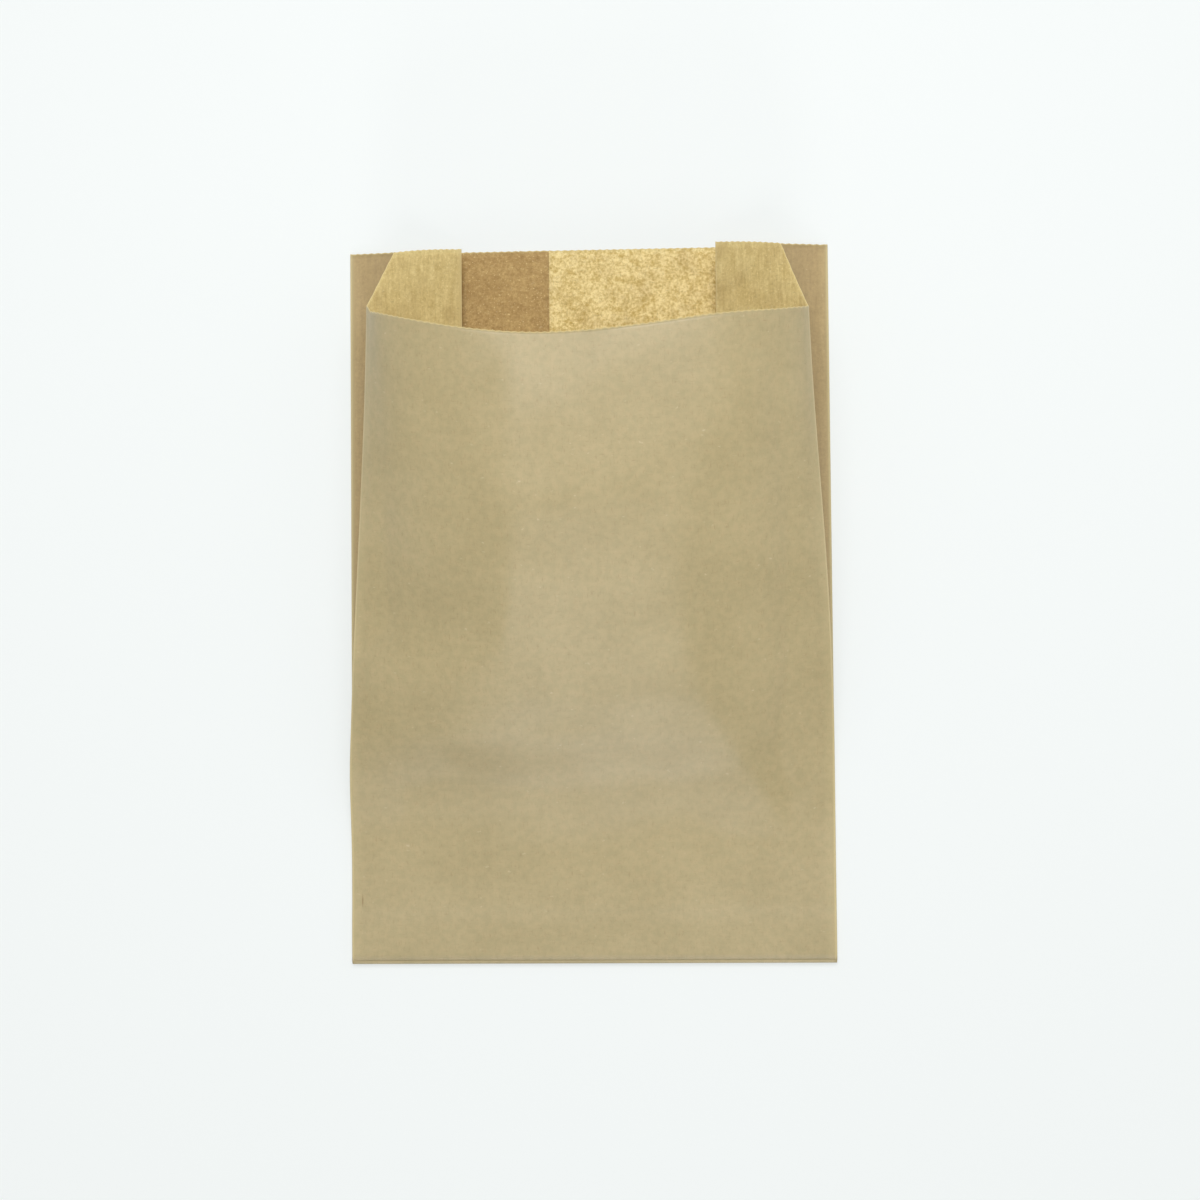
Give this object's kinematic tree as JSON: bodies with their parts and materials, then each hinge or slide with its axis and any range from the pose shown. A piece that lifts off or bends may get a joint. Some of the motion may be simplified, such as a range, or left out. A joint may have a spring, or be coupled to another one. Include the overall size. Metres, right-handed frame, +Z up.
{
  "type": "paper bread bag",
  "caption": "Plain brown kraft paper bread bag with side gussets and a folded, glued bottom, lying on its back with its stepped mouth standing half open.",
  "frame": {"origin": "Middle of the bag's length and width, on the surface that its back panel lies on.", "axes": "X across the bag, Y along it from the folded bottom to the open mouth, Z up out of the back panel through the front panel."},
  "size_m": [0.21, 0.3114, 0.0753],
  "materials": {
    "kraft_paper": "unbleached machine-glazed kraft, matt, with fine fibre and ribs across the web"
  },
  "bodies": {
    "root": {"paper_bag": "kraft_paper"}
  },
  "joints": []
}
